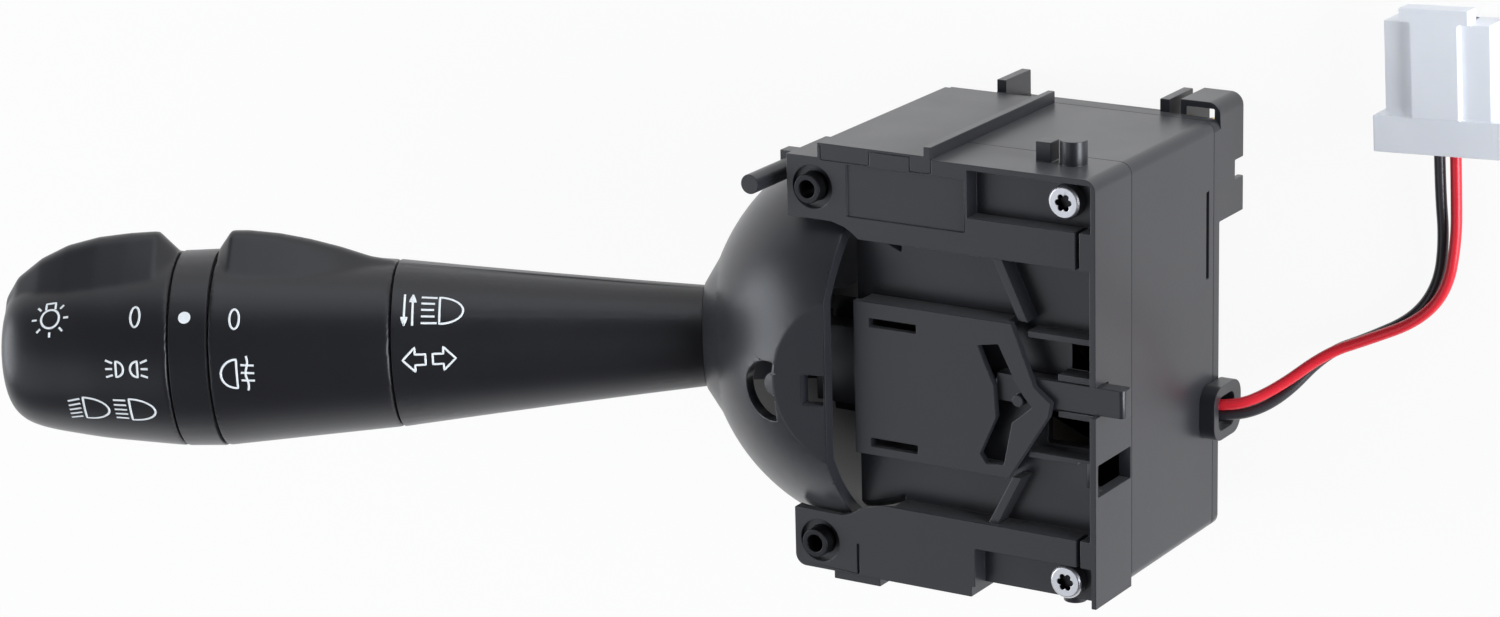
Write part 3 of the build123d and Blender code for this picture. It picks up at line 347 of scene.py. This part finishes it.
def housing_plastic():
    return plastic(
        "Housing plastic", finish_of().plastic, roughness=0.32, grain_size=0.3, bump=0.4, dust=0.14,
    )


def stalk_plastic():
    return plastic(
        "Stalk plastic", finish_of().stalk, roughness=0.36, grain_size=0.22, bump=0.35, variation=0.08,
        dust=0.1, specular=0.45,
    )


def mechanism_plastic():
    return plastic("Mechanism plastic", (0.05, 0.05, 0.055), roughness=0.38, grain_size=0.5, bump=0.2)


def board_laminate():
    return plastic(
        "Contact board", (0.11, 0.08, 0.04), roughness=0.5, grain_size=0.15, bump=0.4, variation=0.3,
    )


def printed_ink():
    return plastic(
        "Printed ink", finish_of().ink, roughness=0.5, grain_size=0.12, bump=0.2, variation=0.1,
    )


def plug_nylon():
    made = plastic(
        "Plug nylon", finish_of().nylon, roughness=0.34, grain_size=0.4, bump=0.2, variation=0.06,
    )
    shader = made.node_tree.nodes["Principled BSDF"]
    shader.inputs["Subsurface Weight"].default_value = 0.25
    shader.inputs["Subsurface Radius"].default_value = (0.001, 0.001, 0.0012)
    return made


def red_insulation():
    return plastic(
        "Red insulation", finish_of().red, roughness=0.3, grain_size=0.6, bump=0.15, variation=0.05,
    )


def black_insulation():
    return plastic(
        "Black insulation", (0.03, 0.028, 0.032), roughness=0.3, grain_size=0.6, bump=0.15, variation=0.05,
    )


def zinc():
    return metal("Zinc", (0.62, 0.62, 0.64), roughness=0.22)


# Blackened steel of the sleeves, which also serves as painted shade in the screws' recesses
def blackened_steel_and_shade():
    return metal("Blackened steel and painted shade", (0.035, 0.035, 0.037), roughness=0.3)


def ground_steel():
    return metal("Ground steel", (0.5, 0.5, 0.52), roughness=0.25)


def contact_brass():
    return metal("Contact brass", (0.75, 0.52, 0.2), roughness=0.25)


# Modelling helpers


def deselect():
    bpy.ops.object.select_all(action="DESELECT")


def activate(piece):
    """Selects one piece and makes it the active one."""
    deselect()
    piece.select_set(True)
    bpy.context.view_layer.objects.active = piece


def paint(piece, material):
    """Gives a piece one material."""
    piece.data.materials.clear()
    piece.data.materials.append(material)


def copy_of(node, name):
    """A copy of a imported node, merged into one clean mesh, to be shaped further."""
    source = frame["nodes"][node]
    piece = source.copy()
    piece.data = source.data.copy()
    piece.name = name
    piece.data.name = name
    piece.parent = None
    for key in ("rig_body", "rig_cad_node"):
        if key in piece:
            del piece[key]
    bpy.context.scene.collection.objects.link(piece)
    activate(piece)
    if piece.data.has_custom_normals:
        bpy.ops.mesh.customdata_custom_splitnormals_clear()
    bpy.ops.object.mode_set(mode="EDIT")
    bpy.ops.mesh.select_all(action="SELECT")
    bpy.ops.mesh.remove_doubles(threshold=0.002 * MM)
    bpy.ops.object.mode_set(mode="OBJECT")
    return piece


def stand_for(piece, node, body):
    """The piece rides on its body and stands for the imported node."""
    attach(piece, body)
    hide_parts(node)


def apply_modifier(piece, kind, **values):
    """Adds a modifier with its values and applies it."""
    activate(piece)
    modifier = piece.modifiers.new(kind.title(), kind)
    for key, value in values.items():
        setattr(modifier, key, value)
    bpy.ops.object.modifier_apply(modifier=modifier.name)


def moulded(node, name, body, material, edge, angle=35):
    """A node with its moulded edges rounded where they turn by more than an angle in degrees."""
    piece = copy_of(node, name)
    bpy.ops.object.mode_set(mode="EDIT")
    bpy.ops.mesh.select_all(action="SELECT")
    bpy.ops.mesh.dissolve_limited(angle_limit=FLAT)
    bpy.ops.object.mode_set(mode="OBJECT")
    apply_modifier(
        piece, "BEVEL", width=edge, segments=2, limit_method="ANGLE", angle_limit=math.radians(angle),
        use_clamp_overlap=False, miter_outer="MITER_ARC",
    )
    bpy.ops.object.shade_smooth_by_angle(angle=ROUND)
    apply_modifier(piece, "WEIGHTED_NORMAL", keep_sharp=True)
    paint(piece, material)
    stand_for(piece, node, body)
    return piece


def softened(node, name, body):
    """A grip that the fingers turn, with all its edges flowing into each other."""
    piece = copy_of(node, name)
    apply_modifier(piece, "REMESH", mode="VOXEL", voxel_size=0.3 * MM, adaptivity=0)
    apply_modifier(piece, "SMOOTH", factor=0.5, iterations=14)
    bpy.ops.object.shade_smooth()
    paint(piece, stalk_plastic())
    stand_for(piece, node, body)


def wire_curve(name, route):
    """A wire as one smooth line through its route."""
    line = bpy.data.curves.new(name, "CURVE")
    line.dimensions = "3D"
    line.resolution_u = 12
    line.bevel_depth = sizes_of().wire / 2
    line.bevel_resolution = 6
    line.use_fill_caps = True
    spline = line.splines.new("NURBS")
    spline.points.add(len(route) - 1)
    for point, place in zip(spline.points, route):
        point.co = (*(value * MM for value in place), 1)
    spline.order_u = 3
    spline.use_endpoint_u = True
    wire = bpy.data.objects.new(name, line)
    bpy.context.scene.collection.objects.link(wire)
    return wire


# Operators


class SWITCH_OT_camera(Operator):
    """Put the camera where the photograph was taken from"""

    bl_idname = "switch.camera"
    bl_label = "Camera"

    def execute(self, context):
        lens = bpy.data.cameras.new("Camera")
        lens.lens = CAMERA_LENS
        lens.sensor_width = SENSOR_WIDTH
        lens.clip_start = 0.01
        lens.clip_end = 20
        camera = bpy.data.objects.new("Camera", lens)
        context.scene.collection.objects.link(camera)
        back = CAMERA_RIGHT.cross(CAMERA_UP)
        turn = Matrix((CAMERA_RIGHT, CAMERA_UP, back)).transposed()
        camera.matrix_world = Matrix.Translation(CAMERA_PLACE) @ turn.to_4x4()
        context.scene.camera = camera
        return {"FINISHED"}


class SWITCH_OT_lead(Operator):
    """Lay the two wires and dress their plug"""

    bl_idname = "switch.lead"
    bl_label = "Wires and plug"

    def execute(self, context):
        plug = moulded("plug_housing", "plug", "housing", plug_nylon(), edge=0.25 * MM)
        for name, route, node, slot_name, material in (
            ("red_lead", RED_ROUTE, "red_wire", "red_insulation", red_insulation()),
            ("black_lead", BLACK_ROUTE, "black_wire", "black_insulation", black_insulation()),
        ):
            wire = wire_curve(name, route)
            paint(wire, material)
            stand_for(wire, node, "housing")
        paint(frame["nodes"]["plug_contacts"], contact_brass())
        return {"FINISHED"}


class SWITCH_OT_housing(Operator):
    """Dress the housing, its covers, the guide plate, the clip and the cancel finger"""

    bl_idname = "switch.housing"
    bl_label = "Housing"

    def execute(self, context):
        edge = sizes_of().edge
        for node, name, slot_name in (
            ("front_housing", "front_shell", "black_plastic"),
            ("rear_housing", "rear_shell", "black_plastic"),
            ("top_cover", "top_lid", "black_plastic"),
            ("rear_cover", "rear_lid", "black_plastic"),
            ("guide_plate", "slotted_plate", "black_plastic"),
            ("wire_clip", "wire_loop", "clip_plastic"),
        ):
            moulded(node, name, "housing", housing_plastic(), edge=edge)
        moulded("cancel_finger", "finger", "finger", housing_plastic(), edge=edge)
        return {"FINISHED"}


class SWITCH_OT_fasteners(Operator):
    """Dress the screws, the sleeves and the metal inside"""

    bl_idname = "switch.fasteners"
    bl_label = "Screws and metal"

    def execute(self, context):
        screws = moulded("housing_screws", "screws", "housing", zinc(), edge=0.1 * MM)
        self.paint_recess_shade(screws)
        moulded("mounting_sleeves", "sleeves", "housing", blackened_steel_and_shade(), edge=0.2 * MM)
        for node in ("main_blades", "side_blades", "contact_tracks", "dip_tracks", "turn_wipers", "dip_wiper",
                     "knob_wiper", "fog_wiper", "knob_contact_plate", "fog_contact_plate"):
            paint(frame["nodes"][node], contact_brass())
        for node in ("lever_pin", "detent_plunger"):
            paint(frame["nodes"][node], ground_steel())
        return {"FINISHED"}

    def paint_recess_shade(self, screws):
        """The lobed recess of each screw gets painted shade, a dark metal on its faces, as light hardly gets
        in.
        """
        # Painted shade: the dark blackened steel goes on the faces inside the recess
        screws.data.materials.append(blackened_steel_and_shade())
        top = max(vertex.co.z for vertex in screws.data.vertices)
        for face in screws.data.polygons:
            aside = face.center.x - SCREW_X
            along = min(abs(face.center.y - place) for place in SCREW_YS)
            if math.hypot(aside, along) < RECESS_R and RECESS_TOP < top - face.center.z < RECESS_FLOOR:
                face.material_index = 1


class SWITCH_OT_springs(Operator):
    """Dress the three springs"""

    bl_idname = "switch.springs"
    bl_label = "Springs"

    def execute(self, context):
        for node, name, body, joint, axis, keep in (
            ("cancel_spring", "cancel_coil", "housing", "cancel_slide", (1, 0, 0), 0.69),
            ("detent_spring", "detent_coil", "yoke", "detent_slide", (1, 0, 0), 0.89),
            ("dip_spring", "dip_coil", "yoke", "dip_flash", (0, 0, 1), 0.75),
        ):
            spring = copy_of(node, name)
            bpy.ops.object.shade_smooth_by_angle(angle=COARSE)
            paint(spring, ground_steel())
            stand_for(spring, node, body)
            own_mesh(spring)
        return {"FINISHED"}


class SWITCH_OT_mechanism(Operator):
    """Dress the mechanism inside the housing and the lever"""

    bl_idname = "switch.mechanism"
    bl_label = "Mechanism"

    def execute(self, context):
        for node in ("yoke", "lever_hub", "core_tube", "core_bush", "knob_rod", "fog_sleeve", "turn_slider",
                     "dip_slider", "detent_cam"):
            paint(frame["nodes"][node], mechanism_plastic())
        for node in ("contact_base", "dip_board"):
            paint(frame["nodes"][node], board_laminate())
        return {"FINISHED"}


class SWITCH_OT_lever(Operator):
    """Dress the dome, the stalk, the ring, the collar and the knob"""

    bl_idname = "switch.lever"
    bl_label = "Lever"

    def execute(self, context):
        moulded("dome_shroud", "dome", "lever", housing_plastic(), edge=0.22 * MM, angle=20)
        moulded("stalk_tube", "stalk", "lever", stalk_plastic(), edge=0.12 * MM)
        softened("fog_ring", "turning_ring", "ring")
        moulded("index_collar", "collar", "lever", stalk_plastic(), edge=0.2 * MM)
        softened("light_knob", "end_knob", "knob")
        return {"FINISHED"}


# Symbols: lines in millimetres, to the right and upwards, with True where a line closes


def arc(centre, radius_u, radius_v, start, end, steps=24):
    """Points on an ellipse, from one angle to another, in degrees."""
    turns = [math.radians(start + (end - start) * step / steps) for step in range(steps + 1)]
    return [(centre[0] + radius_u * math.cos(turn), centre[1] + radius_v * math.sin(turn)) for turn in turns]


def lamp_outline(flat, nose, half_height):
    """The outline of a lamp: flat at one side and round at the other."""
    return (arc((flat, 0), nose - flat, half_height, -90, 90), True)


def oval(half_width, half_height):
    """A whole ellipse."""
    return (arc((0, 0), half_width, half_height, 0, 345, 30), True)


def bulb_symbol():
    """Light switch: a bulb with its base and seven rays."""
    lines = [oval(1.45, 1.5)]
    lines.append(([(-0.75, 1.55), (-0.75, 2.65), (0.75, 2.65), (0.75, 1.55)], False))
    for degrees in (0, 45, 135, 180, 225, 270, 315):
        turn = math.radians(degrees)
        lines.append(([(r * math.cos(turn), r * math.sin(turn)) for r in (2.15, 2.95)], False))
    return lines


def side_lamps_symbol():
    """Side lamps: two small lamps back to back with three rays each."""
    lines = [lamp_outline(-1.7, -0.55, 1.2), lamp_outline(1.7, 0.55, 1.2)]
    for side in (-1, 1):
        lines.append(([(side * 2.2, 0.95), (side * 3.3, 1.4)], False))
        lines.append(([(side * 2.25, 0.05), (side * 3.35, 0.05)], False))
        lines.append(([(side * 2.2, -0.9), (side * 3.3, -1.25)], False))
    return lines


def beam_symbol(drop):
    """Main beam, or dipped beam where the rays drop."""
    lines = [lamp_outline(-0.6, 3.3, 2.1)]
    for level in (1.8, 0.9, 0.0, -0.9, -1.8):
        lines.append(([(-3.1, level - drop), (-1.15, level)], False))
    return lines


def fog_symbol():
    """Rear fog lamp: three rays that a wavy line crosses."""
    lines = [lamp_outline(-0.35, -2.75, 2.25)]
    wave = [(1.15 + 0.16 * math.sin(step / 20 * 3 * math.pi), 2.75 - 5.5 * step / 20) for step in range(21)]
    lines.append((wave, False))
    for level in (1.3, 0.1, -1.1):
        lines.append(([(0.3, level + 0.08), (2.3, level - 0.08)], False))
    return lines


def level_symbol():
    """Flash and dip: a lamp with five rays and an arrow each way."""
    lines = [lamp_outline(1.3, 4.85, 2.2)]
    for level, end in ((2.1, 0.95), (1.05, 0.6), (0.0, 0.5), (-1.05, 0.6), (-2.1, 0.95)):
        lines.append(([(-1.45, level), (end, level)], False))
    for place, tip in ((-4.0, -2.5), (-2.75, 2.5)):
        lines.append(([(place, -tip), (place, tip)], False))
        wing = tip * 0.52
        lines.append(([(place - 0.42, wing), (place, tip * 0.95), (place + 0.42, wing)], True))
    return lines


def turn_symbol():
    """Turn signals: an arrow to each side."""
    half = [(0.55, 0.8), (2.15, 0.8), (2.15, 1.85), (4.0, 0)]
    outline = half + [(u, -v) for u, v in reversed(half[:-1])]
    return [([(side * u, v) for u, v in outline], True) for side in (-1, 1)]


def finely(points, closed, step=0.3):
    """The same line with points close enough together to be wrapped round the lever."""
    ends = points + [points[0]] if closed else points
    fine = []
    for (u, v), (next_u, next_v) in zip(ends, ends[1:]):
        parts = max(1, math.ceil(math.hypot(next_u - u, next_v - v) / step))
        fine += [(u + (next_u - u) * part / parts, v + (next_v - v) * part / parts) for part in range(parts)]
    return fine if closed else fine + [ends[-1]]


def surface_radius(target, reach, turn):
    """Distance from the lever's axis to the outside of a piece, and the direction of that."""
    outward = FRONT * math.cos(turn) + UPWARD * math.sin(turn)
    start = HUB + ALONG * reach + outward * SEARCH_FROM
    hit, place, _, _ = target.ray_cast(start, -outward)
    if not hit:
        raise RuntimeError("a symbol misses the surface it is printed on")
    return (place - HUB - ALONG * reach).dot(outward), outward


def wrap_round(piece, reach, degrees, target):
    """Lays a flat mesh on a piece of the lever, at a reach along the axis and an angle round it."""
    middle, _ = surface_radius(target, reach, math.radians(degrees))
    for vertex in piece.data.vertices:
        u, v, lift = vertex.co
        radius, outward = surface_radius(target, reach - u, math.radians(degrees) + v / middle)
        level = radius + sizes_of().ink_lift + lift * INK_FLATNESS
        vertex.co = HUB + ALONG * (reach - u) + outward * level


def print_symbol(name, lines, reach, degrees, target, body):
    """Prints a symbol on a piece of the lever, centred at a reach along it and an angle round it."""
    ink = bpy.data.curves.new(name, "CURVE")
    ink.dimensions = "3D"
    ink.bevel_depth = sizes_of().stroke / 2
    ink.bevel_resolution = 1
    ink.use_fill_caps = True
    for points, closed in lines:
        fine = finely(points, closed)
        spline = ink.splines.new("POLY")
        spline.points.add(len(fine) - 1)
        for point, (u, v) in zip(spline.points, fine):
            point.co = (u * MM, v * MM, 0, 1)
        spline.use_cyclic_u = closed
    piece = bpy.data.objects.new(name, ink)
    bpy.context.scene.collection.objects.link(piece)
    activate(piece)
    bpy.ops.object.convert(target="MESH")
    wrap_round(piece, reach, degrees, target)
    bpy.ops.object.shade_smooth()
    paint(piece, printed_ink())
    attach(piece, body)


class SWITCH_OT_symbols(Operator):
    """Print the symbols on the stalk, the ring, the collar and the knob"""

    bl_idname = "switch.symbols"
    bl_label = "Symbols"

    def execute(self, context):
        context.view_layer.update()
        pieces = ("end_knob", "turning_ring", "collar", "stalk")
        knob, ring, collar, stalk = (bpy.data.objects[name] for name in pieces)
        for name, lines, reach, degrees, target, body in (
            ("bulb_print", bulb_symbol(), 0.1306, 39, knob, "knob"),
            ("knob_zero_print", [oval(0.72, 1.6)], 0.1170, 35.8, knob, "knob"),
            ("side_lamps_print", side_lamps_symbol(), 0.1184, 4, knob, "knob"),
            ("low_beam_print", beam_symbol(0.65), 0.1253, -24.8, knob, "knob"),
            ("high_beam_print", beam_symbol(0), 0.1180, -23.9, knob, "knob"),
            ("ring_zero_print", [oval(0.72, 1.55)], 0.10166, 32.6, ring, "ring"),
            ("fog_print", fog_symbol(), 0.1011, 0, ring, "ring"),
            ("level_print", level_symbol(), 0.0721, 39.7, stalk, "lever"),
            ("turn_print", turn_symbol(), 0.0724, 4, stalk, "lever"),
        ):
            print_symbol(name, lines, reach, degrees, target, body)
        self.dot(collar)
        return {"FINISHED"}

    def dot(self, collar):
        """The reference dot on the collar."""
        deselect()
        bpy.ops.mesh.primitive_circle_add(vertices=40, radius=0.95 * MM, fill_type="TRIFAN")
        piece = bpy.context.object
        piece.name = "dot_print"
        wrap_round(piece, 0.10925, 33.8, collar)
        paint(piece, printed_ink())
        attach(piece, "lever")


class SWITCH_OT_stage(Operator):
    """Set the pale floor, the soft lamps and the surrounding light"""

    bl_idname = "switch.stage"
    bl_label = "Stage"

    def execute(self, context):
        deselect()
        bpy.ops.mesh.primitive_plane_add(size=12, location=(0, 0, cad_box[0].z - FLOOR_GAP))
        floor = context.object
        floor.name = "floor"
        paint(floor, self.floor_material())
        for name, place, size, power in (
            ("key_lamp", (-0.45, -0.3, 0.9), 0.9, 1.8),
            ("top_lamp", (0.1, 1.1, 0.1), 1.2, 4.0),
            ("side_lamp", (1.1, 0.0, 0.05), 1.1, 28.0),
            ("left_lamp", (-1.0, 0.0, 0.5), 0.9, 8.0),
        ):
            light = bpy.data.lights.new(name, "AREA")
            light.shape = "DISK"
            light.size = size
            light.energy = power
            light.color = LAMP_COLOR
            lamp = bpy.data.objects.new(name, light)
            lamp.location = place
            aim = LAMP_AIM - Vector(place)
            lamp.rotation_euler = aim.to_track_quat("-Z", "Y").to_euler()
            context.scene.collection.objects.link(lamp)
        self.surroundings(context)
        context.scene.view_settings.view_transform = "Standard"
        return {"FINISHED"}

    def floor_material(self):
        """Pale, and mostly plain white to the eye and in reflections, so that shadows stay faint."""
        made = bpy.data.materials.new("Pale floor")
        made.use_nodes = True
        tree = made.node_tree
        nodes, links = tree.nodes, tree.links
        matt = nodes["Principled BSDF"]
        matt.inputs["Base Color"].default_value = (0.9, 0.9, 0.9, 1)
        matt.inputs["Roughness"].default_value = 0.9
        glow = nodes.new("ShaderNodeEmission")
        rays = nodes.new("ShaderNodeLightPath").outputs
        seen = math_node(tree, "MAXIMUM", rays["Is Camera Ray"], rays["Is Glossy Ray"])
        mix = nodes.new("ShaderNodeMixShader")
        links.new(math_node(tree, "MULTIPLY", seen, 0.92), mix.inputs[0])
        links.new(matt.outputs[0], mix.inputs[1])
        links.new(glow.outputs[0], mix.inputs[2])
        links.new(mix.outputs[0], nodes["Material Output"].inputs["Surface"])
        return made

    def surroundings(self, context):
        """White behind and beside the switch and dim in front of it, as in a tent with a dark front."""
        world = bpy.data.worlds.new("Surroundings")
        context.scene.world = world
        world.use_nodes = True
        nodes, links = world.node_tree.nodes, world.node_tree.links
        room = nodes["Background"]
        room.inputs["Color"].default_value = (0.92, 0.94, 1.0, 1)
        toward = nodes.new("ShaderNodeTexCoord")
        part = nodes.new("ShaderNodeSeparateXYZ")
        fade = nodes.new("ShaderNodeMapRange")
        fade.interpolation_type = "SMOOTHSTEP"
        fade.inputs["From Min"].default_value = -0.05
        fade.inputs["From Max"].default_value = 0.45
        fade.inputs["To Min"].default_value = 1.0
        fade.inputs["To Max"].default_value = 0.15
        links.new(toward.outputs["Generated"], part.inputs[0])
        links.new(part.outputs["Z"], fade.inputs["Value"])
        links.new(fade.outputs["Result"], room.inputs["Strength"])
        backdrop = nodes.new("ShaderNodeBackground")
        backdrop.inputs["Color"].default_value = (1, 1, 1, 1)
        rays = nodes.new("ShaderNodeLightPath")
        mix = nodes.new("ShaderNodeMixShader")
        links.new(rays.outputs["Is Camera Ray"], mix.inputs[0])
        links.new(room.outputs[0], mix.inputs[1])
        links.new(backdrop.outputs[0], mix.inputs[2])
        links.new(mix.outputs[0], nodes["World Output"].inputs["Surface"])


STEPS = (
    SWITCH_OT_camera,
    SWITCH_OT_lead,
    SWITCH_OT_housing,
    SWITCH_OT_fasteners,
    SWITCH_OT_springs,
    SWITCH_OT_mechanism,
    SWITCH_OT_lever,
    SWITCH_OT_symbols,
    SWITCH_OT_stage,
)


class SWITCH_PT_builder(Panel):
    """Lists the steps that dress the switch"""

    bl_idname = "SWITCH_PT_builder"
    bl_label = "Stalk Switch"
    bl_space_type = "VIEW_3D"
    bl_region_type = "UI"
    bl_category = "Stalk Switch"

    def draw(self, context):
        column = self.layout.column()
        for group in (context.scene.switch_finish, context.scene.switch_sizes):
            for key in group.bl_rna.properties.keys():
                if key not in ("rna_type", "name"):
                    column.prop(group, key)
        for step in STEPS:
            column.operator(step.bl_idname)


CLASSES = (SwitchFinish, SwitchSizes, *STEPS, SWITCH_PT_builder)


def register():
    for each in CLASSES:
        bpy.utils.register_class(each)
    bpy.types.Scene.switch_finish = PointerProperty(type=SwitchFinish)
    bpy.types.Scene.switch_sizes = PointerProperty(type=SwitchSizes)


def unregister():
    del bpy.types.Scene.switch_sizes
    del bpy.types.Scene.switch_finish
    for each in reversed(CLASSES):
        bpy.utils.unregister_class(each)


def main():
    register()
    bpy.ops.switch.camera()
    bpy.ops.switch.lead()
    bpy.ops.switch.housing()
    bpy.ops.switch.fasteners()
    bpy.ops.switch.springs()
    bpy.ops.switch.mechanism()
    bpy.ops.switch.lever()
    bpy.ops.switch.symbols()
    bpy.ops.switch.stage()


if __name__ == "__main__":
    main()
